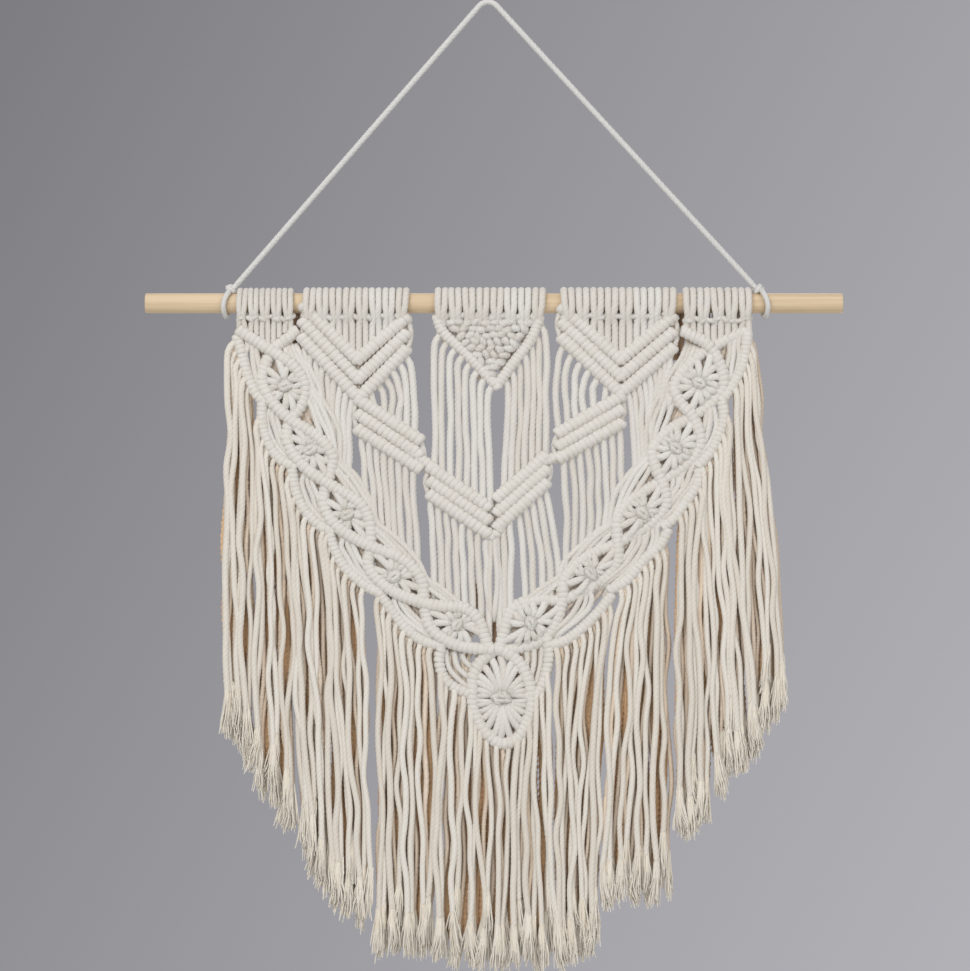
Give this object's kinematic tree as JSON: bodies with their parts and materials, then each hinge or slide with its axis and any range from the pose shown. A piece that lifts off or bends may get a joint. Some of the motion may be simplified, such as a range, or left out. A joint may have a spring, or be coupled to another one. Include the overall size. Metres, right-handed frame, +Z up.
{
  "type": "macrame wall hanging on a wooden dowel",
  "caption": "Macrame wall hanging in cream cotton cord: V-shaped braid of knotted eyes, chevron bands, centre medallion and long frayed fringe, on a wooden dowel with a hanging cord.",
  "frame": {"origin": "where the hanging cord rests on its nail or hook, at the inner side of the cord's bend", "axes": "+X along the dowel to the hanging's right as seen from the front, +Y towards the wall, +Z up; the hanging faces -Y"},
  "size_m": [0.419, 0.0206, 0.578],
  "materials": {
    "wood": "bare sanded pine",
    "hanging_cord": "twisted cotton cord",
    "cotton": "twisted natural cotton cord, knotted",
    "fringe": "twisted natural cotton cord, frayed at the tips"
  },
  "bodies": {
    "root": {"dowel": "wood", "hanging_cord": "hanging_cord", "cord_loop_left": "hanging_cord", "cord_loop_right": "hanging_cord", "heading_a": "cotton", "heading_b": "cotton", "heading_c": "cotton", "heading_d": "cotton", "heading_e": "cotton", "macrame_net": "cotton", "fringe_left_1": "fringe", "fringe_left_2": "fringe", "fringe_left_3": "fringe", "fringe_left_4": "fringe", "fringe_left_5": "fringe", "fringe_middle": "fringe", "fringe_right_5": "fringe", "fringe_right_4": "fringe", "fringe_right_3": "fringe", "fringe_right_2": "fringe", "fringe_right_1": "fringe"}
  },
  "joints": []
}
